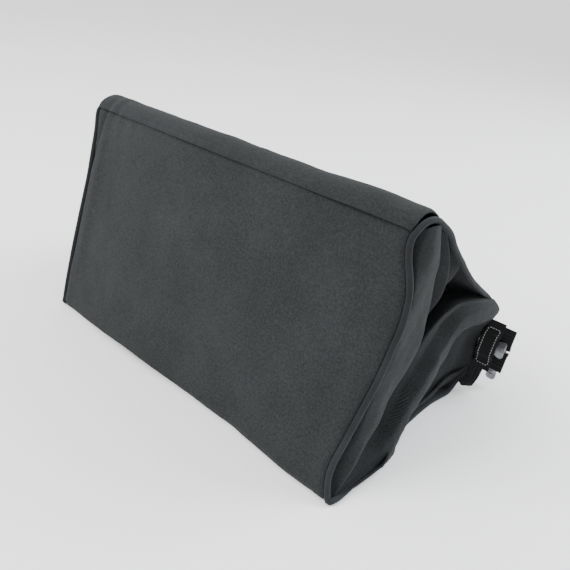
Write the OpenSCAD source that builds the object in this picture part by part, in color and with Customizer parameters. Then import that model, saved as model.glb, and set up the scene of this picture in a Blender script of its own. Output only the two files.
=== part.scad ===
// Film changing bag: a wedge-shaped zip bag with a stiffened base panel, folding end gussets,
// an inner bag with a zipper of its own, and two arm sleeves on the slope behind the base panel.
// Frame: +X along the zipper, +Y from the base panel towards the zipper, +Z up. Millimetres.
// The origin is the middle of the flat panel that the bag rests on.

/* [Bag] */
// Length of the bag along its zipper
bag_w = 360; // [330:5:400]
// Height of the stiffened base panel, up its own slope
base_h = 220; // [210:1:240]
// Distance from the base panel to the zipper
bag_depth = 209; // [200:1:220]
// Height of the zipper up the base panel's slope
zip_rise = 105; // [100:1:107]
// Lean of the base panel from upright, in degrees
lean = 15; // [13:1:16]
// Depth of the flat rest panel from the base panel's lower edge
rest_depth = 195; // [180:1:197]
// Radius of the fold along the top of the bag
top_r = 18; // [14:1:20]
// Radius of the fold along the bottom of the base panel
foot_r = 6; // [4:1:8]
// How far the end gussets fold inwards
gusset_dip = 38; // [25:1:40]

/* [Cloth] */
// Thickness of the outer cloth, two layers quilted together
shell_t = 2; // [1.5:0.1:2.2]
// Thickness of the stiffening board behind the base panel
board_t = 3; // [2:0.1:3.2]
// Thickness of the inner bag's cloth
lining_t = 1; // [0.8:0.1:1.2]
// Diameter of the piping along the end seams
piping_d = 5; // [4:0.1:5]
// Width of the webbing on the zipper's ends
web_w = 18; // [14:1:18]

/* [Outer zipper] */
// Half the width of the zipper, tape and teeth
tape_half = 23; // [20:0.5:24]
// Half the width of the row of teeth
chain_half = 4.5; // [4:0.1:4.8]
// How far the zipper runs on past the bag at each end
tail = 26; // [25:1:40]
// Length of the slider along the teeth
slider_l = 18; // [16:1:20]
// Length of the pull below its pin
pull_l = 37; // [24:1:38]

/* [Sleeves] */
// Distance of each sleeve's middle from the middle of the bag
sleeve_x = 88; // [80:1:90]
// Width of a sleeve where it leaves the bag
sleeve_w = 100; // [90:1:104]
// Length of a sleeve down the slope
sleeve_l = 140; // [125:1:145]
// Height of a sleeve lying on the slope
sleeve_h = 28; // [24:1:29]
// Width of a sleeve at its cuff
cuff_w = 76; // [66:1:80]

/* [Hidden] */
$fn = 48;
cloth_black = [0.20, 0.22, 0.23];
lining_black = [0.09, 0.09, 0.10];
piping_black = [0.15, 0.16, 0.18];
webbing_black = [0.12, 0.12, 0.13];
tape_black = [0.10, 0.10, 0.11];
board_grey = [0.35, 0.34, 0.32];
elastic_grey = [0.55, 0.55, 0.53];
metal_grey = [0.55, 0.56, 0.58];

half_w = bag_w / 2;
clear = 0.4;
seam_front = 14;        // where the base panel ends under the bag
seam_angle = 145;       // where it ends on the fold along the top
seam_gap = 1.5;         // angle left between it and the slope panel there
tape_t = 1;
chain_t = 3.6;
plate_t = 2;
pin_r = 1;
pin_rise = 3.2;         // height of the pull's pin over the slider
web_t = 2;
tooth_pitch = 3;
seam_lap = 12;          // how far the panels lap over the zipper's tape
tape_trim = 1.5;        // the tape ends this far inside the panels' fold
piping_end = 5;         // the piping ends this far before the zipper
lining_x = half_w - 12; // half the length of the inner bag's panels
inner_gap = 24;         // the inner zipper lies this far inside the outer one
inner_half = 14;
inner_chain = 3;
inner_scale = 0.7;
root_q = 28;            // where the sleeves start down the slope
armhole_q = 55;         // middle of the armholes down the slope
armhole_w = 92;
armhole_h = 42;
lining_floor = rest_depth - 45;     // where the inner bag leaves the rest panel
bend_q = 60;            // the inner bag leaves the slope this far before its end
y_mid = (seam_front + rest_depth) / 2;

// A point of the cross section, from its height up the base panel and its depth behind it
function slant(u, d) = [
    u * sin(lean) + d * cos(lean) - y_mid,
    u * cos(lean) - d * sin(lean)
];
function floor_at(y) = [y - y_mid, 0];
function on_arc(c, r, a, b, n) = [
    for (k = [0:n]) let (t = a + (b - a) * k / n) c + r * [cos(t), sin(t)]
];
function unit(v) = v / norm(v);
function left_of(a, b) = let (d = unit(b - a)) [-d.y, d.x];
function reversed(p) = [for (k = [len(p) - 1:-1:0]) p[k]];

// The same line moved to its left by t, with mitred corners
function moved(p, t, closed = false) = [
    for (k = [0:len(p) - 1])
        let (
            before = closed ? p[(k + len(p) - 1) % len(p)] : p[max(k - 1, 0)],
            after = closed ? p[(k + 1) % len(p)] : p[min(k + 1, len(p) - 1)],
            m = before == p[k] ? left_of(p[k], after) : left_of(before, p[k]),
            n = after == p[k] ? m : left_of(p[k], after)
        )
        p[k] + t * (m + n) / (1 + m * n)
];
// A band of cloth from t0 to t1 inside a line
function band(p, t0, t1) = concat(moved(p, t0), reversed(moved(p, t1)));

// Corners of the cross section
wall_angle = 180 - lean;
top_u = base_h - top_r;   // where the base panel turns into the fold along the top
top_c = slant(top_u, top_r);
foot_c = [foot_r / tan((90 - lean) / 2) - y_mid, foot_r];
lap_d = bag_depth + tape_t / 2 + shell_t;
lap_top = slant(zip_rise + tape_half, lap_d);
lap_low = slant(zip_rise - tape_half, lap_d);
to_lap = lap_top - top_c;
slope_angle = atan2(to_lap.y, to_lap.x) + acos(top_r / norm(to_lap));
slope_top = top_c + top_r * [cos(slope_angle), sin(slope_angle)];
slope = 90 - slope_angle;
slope_l = norm(lap_top - slope_top);

// The outside line of each panel, anticlockwise, with the inside of the bag on its left
base_line = concat(
    on_arc(top_c, top_r, seam_angle, wall_angle, 3),
    on_arc(foot_c, foot_r, wall_angle, 270, 6),
    [floor_at(seam_front)]
);
rest_line = [
    floor_at(seam_front), floor_at(rest_depth), lap_low,
    slant(zip_rise - tape_half + seam_lap, lap_d)
];
slope_line = concat(
    [slant(zip_rise + tape_half - seam_lap, lap_d), lap_top],
    on_arc(top_c, top_r, slope_angle, seam_angle - seam_gap, 8)
);
end_line = concat(
    [floor_at(rest_depth), slant(zip_rise - tape_half, bag_depth - 1),
     slant(zip_rise + tape_half, bag_depth - 1)],
    on_arc(top_c, top_r, slope_angle, wall_angle, 8),
    on_arc(foot_c, foot_r, wall_angle, 270, 5)
);
piping_line = concat(
    [lap_top + piping_end * [-cos(slope), sin(slope)]],
    on_arc(top_c, top_r, slope_angle, wall_angle, 10),
    on_arc(foot_c, foot_r, wall_angle, 270, 6),
    [floor_at(rest_depth), lap_low + piping_end * unit(floor_at(rest_depth) - lap_low)]
);

// Where an end gusset folds in to a point
gusset_in = 0.42;       // the gussets dip deepest this share of the way back
gusset_mid = slant(zip_rise, bag_depth * gusset_in);
lining_dip = gusset_dip - 8;

// Places on the zippers. Their frames have x along the teeth, y down the tape and z outwards
outer_zip = slant(zip_rise, bag_depth);
inner_zip = slant(zip_rise, bag_depth - inner_gap);
slider_x = half_w + tail - 12;
inner_slider_x = half_w - 30;
tail_x = half_w + tail;
inner_end_x = half_w - 15;
pin_z = chain_t / 2 + clear + plate_t + pin_rise;
function off_tape(c, z) = c + z * [cos(lean), -sin(lean)];

module across(x0, x1) {
    translate([x0, 0, 0]) rotate([90, 0, 90]) linear_extrude(x1 - x0) children();
}
module at_tape(c) {
    translate([0, c.x, c.y]) rotate([-90 - lean, 0, 0]) children();
}
module on_slope(x) {
    translate([x, slope_top.x, slope_top.y]) rotate([-slope, 0, 0]) children();
}
module block(x0, x1, y0, y1, z0, z1) {
    translate([x0, y0, z0]) cube([x1 - x0, y1 - y0, z1 - z0]);
}
module rounded(w, h, r) {
    square([w, h - 2 * r], center = true);
    square([w - 2 * r, h], center = true);
    for (sx = [-1, 1], sy = [-1, 1])
        translate([sx * (w / 2 - r), sy * (h / 2 - r)]) circle(r);
}

// Panels of the outer bag
module base_panel() {
    color(cloth_black) across(-half_w + piping_d / 2, half_w - piping_d / 2)
        polygon(band(base_line, 0, shell_t));
}
module base_board() {
    board_line = [slant(top_u - 4, 0), slant(foot_r + 5, 0)];
    color(board_grey) across(-half_w + 6, half_w - 6)
        polygon(band(board_line, shell_t, shell_t + board_t));
}
module rest_panel() {
    color(cloth_black) across(-half_w + piping_d / 2, half_w - piping_d / 2)
        polygon(band(rest_line, 0, shell_t));
}
module armholes() {
    for (side = [-1, 1]) on_slope(side * sleeve_x) translate([0, armhole_q, -20])
        linear_extrude(40) rounded(armhole_w, armhole_h, 12);
}
module slope_panel() {
    color(cloth_black) difference() {
        across(-half_w + piping_d / 2, half_w - piping_d / 2)
            polygon(band(slope_line, 0, shell_t));
        armholes();
    }
}

// A cloth end that folds inwards to one point: front and back sheets and the rim between them
module folded_end(rim, mid, x, t, dip) {
    n = len(rim);
    front = [for (p = rim) [x, p.x, p.y]];
    back = [for (p = rim) [x - t, p.x, p.y]];
    tips = [[x - dip, mid.x, mid.y], [x - dip - t, mid.x, mid.y]];
    faces = concat(
        [for (k = [0:n - 1]) [(k + 1) % n, k, 2 * n]],
        [for (k = [0:n - 1]) [n + k, n + (k + 1) % n, 2 * n + 1]],
        [for (k = [0:n - 1]) [k, (k + 1) % n, n + (k + 1) % n, n + k]]
    );
    polyhedron(concat(front, back, tips), faces);
}
module end_gusset() {
    rim = moved(end_line, piping_d + 0.1, true);
    color(cloth_black) folded_end(rim, gusset_mid, half_w + 1, shell_t, gusset_dip);
}
module lining_end() {
    rim = moved(lining_loop, shell_t + board_t + lining_t + 1, true);
    color(lining_black) folded_end(rim, gusset_mid, lining_x - 1, lining_t, lining_dip);
}
module end_gusset_right() { end_gusset(); }
module end_gusset_left() { mirror([1, 0, 0]) end_gusset(); }
module lining_end_right() { lining_end(); }
module lining_end_left() { mirror([1, 0, 0]) lining_end(); }

// Piping: a round cord swept along the end seam
module end_piping() {
    sides = 12;
    r = piping_d / 2;
    path = moved(piping_line, r);
    side = [for (k = [0:len(path) - 1]) (path[k] - moved(piping_line, r + 1)[k])];
    rings = [for (k = [0:len(path) - 1], s = [0:sides - 1])
        let (a = 360 * s / sides)
        [half_w + r * cos(a), path[k].x + r * sin(a) * side[k].x, path[k].y + r * sin(a) * side[k].y]
    ];
    walls = [for (k = [0:len(path) - 2], s = [0:sides - 1])
        let (a = k * sides + s, b = k * sides + (s + 1) % sides)
        [a, b, b + sides, a + sides]
    ];
    ends = [[for (s = [sides - 1:-1:0]) s], [for (s = [0:sides - 1]) (len(path) - 1) * sides + s]];
    color(piping_black) polyhedron(rings, concat(walls, ends));
}
module piping_right() { end_piping(); }
module piping_left() { mirror([1, 0, 0]) end_piping(); }

// Inner bag
lining_top = moved(slope_line, shell_t);
lining_turn = [for (k = [2:len(lining_top) - 1]) lining_top[k]];
inner_top = slant(zip_rise + inner_half + 1, bag_depth - inner_gap);
inner_low = slant(zip_rise - inner_half - 1, bag_depth - inner_gap);
lining_bend = lining_turn[0] + (slope_l - bend_q) * [cos(slope), -sin(slope)]
    - 0.05 * [sin(slope), cos(slope)];
lining_slope_line = concat([inner_top, lining_bend], lining_turn);
lining_rest_line = [[seam_front + 4 - y_mid, shell_t], [lining_floor - y_mid, shell_t], inner_low];
lining_loop = [
    [seam_front - y_mid, 0], [lining_floor - y_mid, 0],
    slant(zip_rise - inner_half, bag_depth - inner_gap),
    slant(zip_rise + inner_half, bag_depth - inner_gap),
    slope_top, slant(top_u, 0), slant(foot_r + 2, 0)
];
module lining_base() {
    line = [slant(top_u - 5, 0), slant(foot_r + 7, 0)];
    layer = shell_t + board_t;
    color(lining_black) across(-lining_x, lining_x) polygon(band(line, layer, layer + lining_t));
}
module lining_slope() {
    color(lining_black) difference() {
        across(-lining_x, lining_x) polygon(band(lining_slope_line, 0, lining_t));
        armholes();
    }
}
module lining_rest() {
    color(lining_black) across(-lining_x, lining_x)
        polygon(band(lining_rest_line, 0, lining_t));
}

// Zippers. The halves are mirror images; flip turns a lower half into an upper one
module half_tape(c, end_x, chain, half, t, flip) {
    color(tape_black) at_tape(c) mirror([0, flip, 0])
        block(-end_x, end_x, chain, half, -t / 2, t / 2);
}
module half_teeth(c, end_x, chain, thick, pitch, flip) {
    slit = 0.8;
    root = slit + (chain - slit) * 0.55;
    count = floor((2 * end_x - pitch) / pitch);
    start = -count * pitch / 2 + flip * pitch / 2;
    comb = [for (k = [0:count - 1], p = [[0, root], [0.25, slit], [0.6, slit], [0.85, root]])
        [start + (k + p.x) * pitch, p.y]];
    color(metal_grey) at_tape(c) mirror([0, flip, 0]) translate([0, 0, -thick / 2])
        linear_extrude(thick) polygon(concat(comb, [[start + count * pitch, chain], [start, chain]]));
}
module zip_tape_upper() { half_tape(outer_zip, tail_x, chain_half, tape_half - tape_trim, tape_t, 1); }
module zip_tape_lower() { half_tape(outer_zip, tail_x, chain_half, tape_half - tape_trim, tape_t, 0); }
module zip_teeth_upper() {
    half_teeth(outer_zip, tail_x - 3, chain_half, chain_t, tooth_pitch, 1);
}
module zip_teeth_lower() {
    half_teeth(outer_zip, tail_x - 3, chain_half, chain_t, tooth_pitch, 0);
}
module inner_zip_tape_upper() {
    half_tape(inner_zip, inner_end_x, inner_chain, inner_half, tape_t, 1);
}
module inner_zip_tape_lower() {
    half_tape(inner_zip, inner_end_x, inner_chain, inner_half, tape_t, 0);
}
module inner_zip_teeth_upper() {
    half_teeth(inner_zip, inner_end_x - 3, inner_chain, chain_t * inner_scale, tooth_pitch, 1);
}
module inner_zip_teeth_lower() {
    half_teeth(inner_zip, inner_end_x - 3, inner_chain, chain_t * inner_scale, tooth_pitch, 0);
}
module zip_stops() {
    color(metal_grey) at_tape(outer_zip) {
        for (side = [-1, 1])
            block(tail_x - 2.2, tail_x + 0.4, side * 2.6 - 1.8, side * 2.6 + 1.8, 0.5, 2.2);
        block(-tail_x - 0.4, -tail_x + 2.2, -4.4, 4.4, 0.5, 2.2);
    }
}

slider_flare = 3.5;     // how far a slider's open end reaches past its teeth
slider_waist = 1.9;     // how far its closed end does
slider_corner = 1.5;
wedge_half = 0.5;       // half the thickness of the wedge that parts the teeth

// A slider: two plates joined by the wedge that parts the teeth, with rims over the tape
module slider(l, chain, thick) {
    wide = chain + slider_flare;
    narrow = chain + slider_waist;
    high = thick / 2 + clear + plate_t;
    outline = [
        [-l / 2, -narrow + slider_corner], [-l / 2 + slider_corner, -narrow], [0, -narrow - 0.2],
        [l / 3, -wide], [l / 2 - slider_corner, -wide], [l / 2, -wide + slider_corner]
    ];
    difference() {
        translate([0, 0, -high]) linear_extrude(2 * high)
            polygon(concat(outline, [for (p = reversed(outline)) [p.x, -p.y]]));
        difference() {
            block(-l, l, -chain - clear, chain + clear, -thick / 2 - clear, thick / 2 + clear);
            block(0, l / 2 - 2, -wedge_half, wedge_half, -high, high);
        }
        for (side = [-1, 1])
            translate([-l, side * (chain + wide) / 2 - (wide - chain) / 2 - 1, -tape_t / 2 - clear])
                cube([2 * l, wide - chain + 2, tape_t + 2 * clear]);
    }
}
module bail(l, base_z, z) {
    translate([-l / 2, 0, z]) rotate([0, 90, 0]) cylinder(h = l, r = pin_r);
    for (side = [-1, 1])
        translate([side * (l / 2 + pin_r) - pin_r, -pin_r - 0.2, base_z])
            cube([2 * pin_r, 2 * pin_r + 0.4, z - base_z + pin_r]);
}
module zip_slider() {
    color(metal_grey) at_tape(outer_zip) translate([slider_x, 0, 0])
        slider(slider_l, chain_half, chain_t);
}
bail_l = 10;
module zip_bail() {
    color(metal_grey) at_tape(outer_zip) translate([slider_x, 0, 0])
        bail(bail_l, pin_z - pin_rise, pin_z);
}
inner_top_z = chain_t * inner_scale / 2 + clear + plate_t;
inner_pin_z = inner_top_z + 2.6;
inner_bail_l = 7;
module inner_zip_slider() {
    color(metal_grey) at_tape(inner_zip) translate([inner_slider_x, 0, 0])
        slider(slider_l * inner_scale, inner_chain, chain_t * inner_scale);
}
module inner_zip_bail() {
    color(metal_grey) at_tape(inner_zip) translate([inner_slider_x, 0, 0])
        bail(inner_bail_l, inner_top_z, inner_pin_z);
}

tongue_t = 1.8;         // thickness of a pull's tongue

// A pull hanging straight down from its pin: a rolled eye and a flat tongue with a rounded end
module hanging_pull(x, pin, l, w, eye_w, eye_r) {
    bore = pin_r + clear - 0.05;
    translate([x, pin.x, pin.y]) difference() {
        union() {
            translate([-eye_w / 2, 0, 0]) rotate([0, 90, 0]) cylinder(h = eye_w, r = eye_r);
            translate([0, tongue_t / 2, 0]) rotate([90, 0, 0]) linear_extrude(tongue_t) {
                translate([-eye_w / 2, -6]) square([eye_w, 6]);
                translate([0, -(l + 5) / 2]) rounded(w, l - 5, 3);
            }
        }
        translate([-eye_w, 0, 0]) rotate([0, 90, 0]) cylinder(h = 2 * eye_w, r = bore);
    }
}
pull_w = 9.5;
pull_eye_w = 7.5;
pull_eye_r = 2.6;
inner_pull_l = 15;
inner_pull_w = 7;
inner_eye_w = 5;
inner_eye_r = 2.2;
module zip_pull() {
    color(metal_grey)
        hanging_pull(slider_x, off_tape(outer_zip, pin_z), pull_l, pull_w, pull_eye_w, pull_eye_r);
}
module inner_zip_pull() {
    color(metal_grey)
        hanging_pull(inner_slider_x, off_tape(inner_zip, inner_pin_z),
            inner_pull_l, inner_pull_w, inner_eye_w, inner_eye_r);
}

tab_x = half_w + 3;
arch_half = 10;         // half the width of the tab's arch over the slider
tab_up = 26;            // how far the tab reaches to each side of the teeth
tab_down = 28;
fold_top = 20;          // the fold below the tab: its start and end down the tape, and its thickness
fold_foot = 36.5;
fold_t = 3;

// Webbing across each tail of the zipper, arched to let the slider through, and the fold below it
module tail_tab() {
    arch = chain_t / 2 + clear + plate_t + 0.9;
    foot = arch_half + 2;
    line = [
        [tab_up, -tape_t / 2], [foot, -tape_t / 2], [arch_half, -arch], [-arch_half, -arch],
        [-foot, -tape_t / 2], [-tab_down, -tape_t / 2]
    ];
    color(webbing_black) at_tape(outer_zip) across(tab_x, tab_x + web_w)
        polygon(band(line, 0, web_t));
}
module tail_flap() {
    low = tape_t / 2 + web_t + 0.2;
    color(webbing_black) at_tape(outer_zip)
        block(tab_x, tab_x + web_w, fold_top, fold_foot, -low - fold_t, -low);
}
module end_tab_right() { tail_tab(); }
module end_tab_left() { mirror([1, 0, 0]) tail_tab(); }
module end_flap_right() { tail_flap(); }
module end_flap_left() { mirror([1, 0, 0]) tail_flap(); }

// Sleeves, lying down the slope. Each is a flat tube with a hood over its armhole
cuff_h = sleeve_h - 2;
sleeve_end = root_q + sleeve_l;
cuff_l = 20;
module sleeve_form(t) {
    side = [
        [root_q + 2 * t, clear + t - (t > 0 ? 4 : 0)], [root_q + 34 + t / 2, sleeve_h - 3 - t],
        [root_q + 44, sleeve_h - t], [sleeve_end - cuff_l - 8, sleeve_h - t],
        [sleeve_end - cuff_l, cuff_h - t], [sleeve_end + t, cuff_h - t], [sleeve_end + t, clear + t],
        [armhole_q + armhole_h / 2 + 6 - 2 * t, clear + t],
        [armhole_q + armhole_h / 2 + 6 - 2 * t, clear + t - (t > 0 ? 4 : 0)]
    ];
    half = sleeve_w / 2 - t;
    plan = [
        [half, root_q], [half, sleeve_end - cuff_l - 40], [cuff_w / 2 - t, sleeve_end - cuff_l],
        [cuff_w / 2 - t, sleeve_end + t]
    ];
    intersection() {
        across(-sleeve_w, sleeve_w) polygon(side);
        translate([0, 0, -20]) linear_extrude(80)
            polygon(concat(plan, [for (p = reversed(plan)) [-p.x, p.y]]));
    }
}
module sleeve(x) {
    color(cloth_black) on_slope(x) difference() {
        sleeve_form(0);
        sleeve_form(shell_t);
    }
}
module cuff_ring(x, t, q0, q1) {
    w = cuff_w - 2 * shell_t - 2 * t;
    h = cuff_h - clear - 2 * shell_t - 2 * t;
    mid = (cuff_h + clear) / 2;
    on_slope(x) difference() {
        block(-w / 2, w / 2, q0, q1, mid - h / 2, mid + h / 2);
        block(-w / 2 + 1, w / 2 - 1, q0 - 1, q1 + 1, mid - h / 2 + 1, mid + h / 2 - 1);
    }
}
module cuff_elastic(x) {
    color(elastic_grey) cuff_ring(x, 0, sleeve_end - cuff_l + 6, sleeve_end - 2);
}
module cuff_facing(x) {
    color(lining_black) cuff_ring(x, 1, sleeve_end - cuff_l + 2, sleeve_end);
}
module armhole_binding(x) {
    depth = shell_t + lining_t + 0.2;
    color(lining_black) on_slope(x) translate([0, armhole_q, -depth - 1.2]) linear_extrude(1.2)
        difference() {
            rounded(armhole_w + 8, armhole_h + 8, 16);
            rounded(armhole_w, armhole_h, 12);
        }
}
module sleeve_right() { sleeve(sleeve_x); }
module sleeve_left() { sleeve(-sleeve_x); }
module cuff_elastic_right() { cuff_elastic(sleeve_x); }
module cuff_elastic_left() { cuff_elastic(-sleeve_x); }
module cuff_facing_right() { cuff_facing(sleeve_x); }
module cuff_facing_left() { cuff_facing(-sleeve_x); }
module armhole_binding_right() { armhole_binding(sleeve_x); }
module armhole_binding_left() { armhole_binding(-sleeve_x); }

base_panel();
base_board();
slope_panel();
rest_panel();
end_gusset_left();
end_gusset_right();
piping_left();
piping_right();
zip_tape_upper();
zip_tape_lower();
zip_teeth_upper();
zip_teeth_lower();
zip_stops();
zip_slider();
zip_bail();
zip_pull();
end_tab_left();
end_tab_right();
end_flap_left();
end_flap_right();
lining_base();
lining_slope();
lining_rest();
lining_end_left();
lining_end_right();
inner_zip_tape_upper();
inner_zip_tape_lower();
inner_zip_teeth_upper();
inner_zip_teeth_lower();
inner_zip_slider();
inner_zip_bail();
inner_zip_pull();
sleeve_left();
sleeve_right();
cuff_elastic_left();
cuff_elastic_right();
cuff_facing_left();
cuff_facing_right();
armhole_binding_left();
armhole_binding_right();
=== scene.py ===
"""Film changing bag: the cloth, piping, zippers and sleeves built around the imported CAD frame."""
import math

import bpy
import bmesh
import numpy as np
from mathutils import Matrix, Vector, noise


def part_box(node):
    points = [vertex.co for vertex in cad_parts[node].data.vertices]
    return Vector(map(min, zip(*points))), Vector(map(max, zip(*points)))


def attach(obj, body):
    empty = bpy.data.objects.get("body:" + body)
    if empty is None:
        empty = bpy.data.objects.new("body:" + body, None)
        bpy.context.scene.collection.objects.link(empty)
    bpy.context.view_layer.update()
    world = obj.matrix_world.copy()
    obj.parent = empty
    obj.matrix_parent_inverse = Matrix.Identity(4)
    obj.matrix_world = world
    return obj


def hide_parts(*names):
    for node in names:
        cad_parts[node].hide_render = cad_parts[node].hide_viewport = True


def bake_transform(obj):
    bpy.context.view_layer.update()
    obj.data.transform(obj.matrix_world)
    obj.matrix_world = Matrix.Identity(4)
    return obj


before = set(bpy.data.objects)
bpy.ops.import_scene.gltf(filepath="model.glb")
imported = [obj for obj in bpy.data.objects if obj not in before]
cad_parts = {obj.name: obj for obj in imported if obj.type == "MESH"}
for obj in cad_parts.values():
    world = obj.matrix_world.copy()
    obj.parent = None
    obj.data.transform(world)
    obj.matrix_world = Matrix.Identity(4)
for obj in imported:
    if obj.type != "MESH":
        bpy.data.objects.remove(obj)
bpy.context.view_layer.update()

MM = 0.001
SIDES = (("left", -1), ("right", 1))

# Driving dimensions, in millimetres, read from the frame where a node's box gives them
LEAN = math.radians(15)          # lean of the base panel from upright
HALF_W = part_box("piping_right")[0].x / MM + 2.5     # the end seam's distance from the middle
FRONT_Y = 104.5                  # the bottom front corner is this far before the origin
TOE = 6.5                        # how far the cloth spreads there at the right-hand end
PIPING_R = 2.5
TOP_R = 18                       # the fold along the top
TOP_U, TOP_D = 202, 18           # its centre, up the base panel and behind it
SLOPE_TURN = 115.9               # degrees round that fold where the slope starts
SLOPE = math.radians(40.91)      # fall of the slope
SLOPE_TOP = (-23.04, 204.06)     # y and z where it starts
ZIP_U, ZIP_D = 105, 209          # the outer zipper's teeth
LAP_U, LAP_D = 23, 211.5         # the panels turn over its tape this far up and down, and here
INNER_D = 185                    # the inner zipper's teeth
SLEEVE_X = 88
ROOT_Q, CUFF_Q = 28, 168         # a sleeve's start and end, down the slope


# ---------------------------------------------------------------- points and curves
def slant(x, u, d):
    """A point from its height up the base panel and its depth behind it, in metres. The right-hand
    toe of the cloth spreads forward a little where it stands."""
    toe = TOE * smooth((x - 62) / 112) * smooth((60 - u) / 60) * smooth((50 - d) / 45)
    return (
        x * MM,
        (u * math.sin(LEAN) + d * math.cos(LEAN) - FRONT_Y - toe) * MM,
        (u * math.cos(LEAN) - d * math.sin(LEAN)) * MM,
    )


def on_floor(x, y, z):
    """Slant coordinates of a point y behind the bottom front corner and z above the floor."""
    return (x, y * math.sin(LEAN) + z * math.cos(LEAN), y * math.cos(LEAN) - z * math.sin(LEAN))


def on_slope(x, q, n):
    """A point q down the slope and n above it, in metres."""
    return (
        x * MM,
        (SLOPE_TOP[0] + q * math.cos(SLOPE) + n * math.sin(SLOPE)) * MM,
        (SLOPE_TOP[1] - q * math.sin(SLOPE) + n * math.cos(SLOPE)) * MM,
    )


def smooth(t):
    t = np.clip(t, 0, 1)
    return t * t * (3 - 2 * t)


def table(value, pairs):
    """A smooth curve read at value through a short table of (place, amount) pairs."""
    xs, ys = (np.array(v, float) for v in zip(*pairs))
    slopes = np.gradient(ys, xs)
    at = np.clip(value, xs[0], xs[-1])
    k = np.clip(np.searchsorted(xs, at) - 1, 0, len(xs) - 2)
    gap = xs[k + 1] - xs[k]
    t = (at - xs[k]) / gap
    return ((2 * t ** 3 - 3 * t ** 2 + 1) * ys[k] + (t ** 3 - 2 * t ** 2 + t) * gap * slopes[k]
            + (3 * t ** 2 - 2 * t ** 3) * ys[k + 1] + (t ** 3 - t ** 2) * gap * slopes[k + 1])


def catmull(points, count):
    """Points spread evenly along a smooth curve through the given ones."""
    p = np.array(points, float)
    p = np.vstack([2 * p[0] - p[1], p, 2 * p[-1] - p[-2]])
    t = np.linspace(0, 1, 13)[:-1, None]
    runs = []
    for a, b, c, d in zip(p, p[1:], p[2:], p[3:]):
        runs.append(
            0.5 * (2 * b + (c - a) * t + (2 * a - 5 * b + 4 * c - d) * t ** 2
                   + (3 * b - a - 3 * c + d) * t ** 3)
        )
    return spread(np.vstack(runs + [p[-2:-1]]), count)


def spread(line, count):
    """The same line with count points at even distances."""
    line = np.array(line, float)
    far = np.r_[0, np.cumsum(np.linalg.norm(np.diff(line, axis=0), axis=1))]
    at = np.linspace(0, far[-1], count)
    return np.stack([np.interp(at, far, line[:, k]) for k in range(line.shape[1])], 1)


def rumple(p, scale, amount, seed=0.0):
    """A smooth random shift of the points p, in millimetres, with folds about scale wide."""
    out = np.zeros(len(p))
    for k, v in enumerate(p):
        out[k] = noise.noise(Vector((v[0] / scale + seed, v[1] / scale, v[2] / scale)))
    return out * amount


def fractal(p, scale, amount, seed=0.0):
    return rumple(p, scale, amount, seed) + rumple(p, scale / 2.1, amount / 2, seed + 9)


# ---------------------------------------------------------------- meshes
def new_object(name, mesh, material, body):
    obj = bpy.data.objects.new(name, mesh)
    bpy.context.scene.collection.objects.link(obj)
    mesh.materials.clear()
    mesh.materials.append(material)
    for face in mesh.polygons:
        face.use_smooth = True
    if body:
        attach(obj, body)
    return obj


def apply_modifiers(obj):
    graph = bpy.context.evaluated_depsgraph_get()
    mesh = bpy.data.meshes.new_from_object(obj.evaluated_get(graph))
    obj.modifiers.clear()
    obj.data = mesh
    return obj


def grid_mesh(name, grid, closed=False, flat_uv=None):
    """A mesh from a grid of points, with its cloth coordinates in metres as a UV map."""
    rows, cols = grid.shape[:2]
    mesh = bpy.data.meshes.new(name)
    wrap = cols if closed else cols - 1
    faces = [
        (i * cols + j, i * cols + (j + 1) % cols, (i + 1) * cols + (j + 1) % cols, (i + 1) * cols + j)
        for i in range(rows - 1)
        for j in range(wrap)
    ]
    mesh.from_pydata([tuple(p) for p in grid.reshape(-1, 3)], [], faces)
    if flat_uv is None:
        down = np.linalg.norm(np.diff(grid, axis=0), axis=2).mean(1)
        along = np.linalg.norm(np.diff(grid, axis=1), axis=2).mean(0)
        v, u = np.r_[0, np.cumsum(down)], np.r_[0, np.cumsum(along)]
        flat_uv = np.stack(np.meshgrid(u, v), 2)
    flat_uv = flat_uv.reshape(-1, 2)
    layer = mesh.uv_layers.new(name="cloth")
    corners = np.zeros(len(mesh.loops), np.int32)
    mesh.loops.foreach_get("vertex_index", corners)
    layer.data.foreach_set("uv", flat_uv[corners].astype(np.float32).ravel())
    mesh.validate()
    return mesh


def sheet(name, grid, thick, material, body, flip=False, closed=False, flat_uv=None):
    """A piece of cloth from a grid of outside points, thickened inwards."""
    mesh = grid_mesh(name, grid, closed, flat_uv)
    if flip:
        mesh.flip_normals()
    obj = new_object(name, mesh, material, None)
    solid = obj.modifiers.new("thick", "SOLIDIFY")
    solid.thickness = thick * MM
    solid.offset = -1
    solid.use_even_offset = False
    apply_modifiers(obj)
    if body:
        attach(obj, body)
    return obj


def frames_along(path, up):
    """Side and up directions along a path, turned as little as possible."""
    path = np.array(path, float)
    tangent = np.gradient(path, axis=0)
    tangent /= np.linalg.norm(tangent, axis=1)[:, None]
    ups, here = [], np.array(up, float)
    for t in tangent:
        here = here - t * (here @ t)
        here /= np.linalg.norm(here)
        ups.append(here)
    ups = np.array(ups)
    return np.cross(tangent, ups), ups


def tube(name, path, radius, material, body, sides=14, up=(1, 0, 0)):
    """A round cord along a path in metres; radius in millimetres, one number or one for each point."""
    path = np.array(path, float)
    side, ups = frames_along(path, up)
    r = np.broadcast_to(np.array(radius, float), (len(path),)) * MM
    turn = np.linspace(0, 2 * math.pi, sides, endpoint=False)
    rings = (
        path[:, None]
        + r[:, None, None] * (np.cos(turn)[None, :, None] * side[:, None]
                              + np.sin(turn)[None, :, None] * ups[:, None])
    )
    start, end = path[:1, None].repeat(sides, 1), path[-1:, None].repeat(sides, 1)
    mesh = grid_mesh(name, np.vstack([start, rings, end]), closed=True)
    merge(mesh)
    return new_object(name, mesh, material, body)


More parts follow.
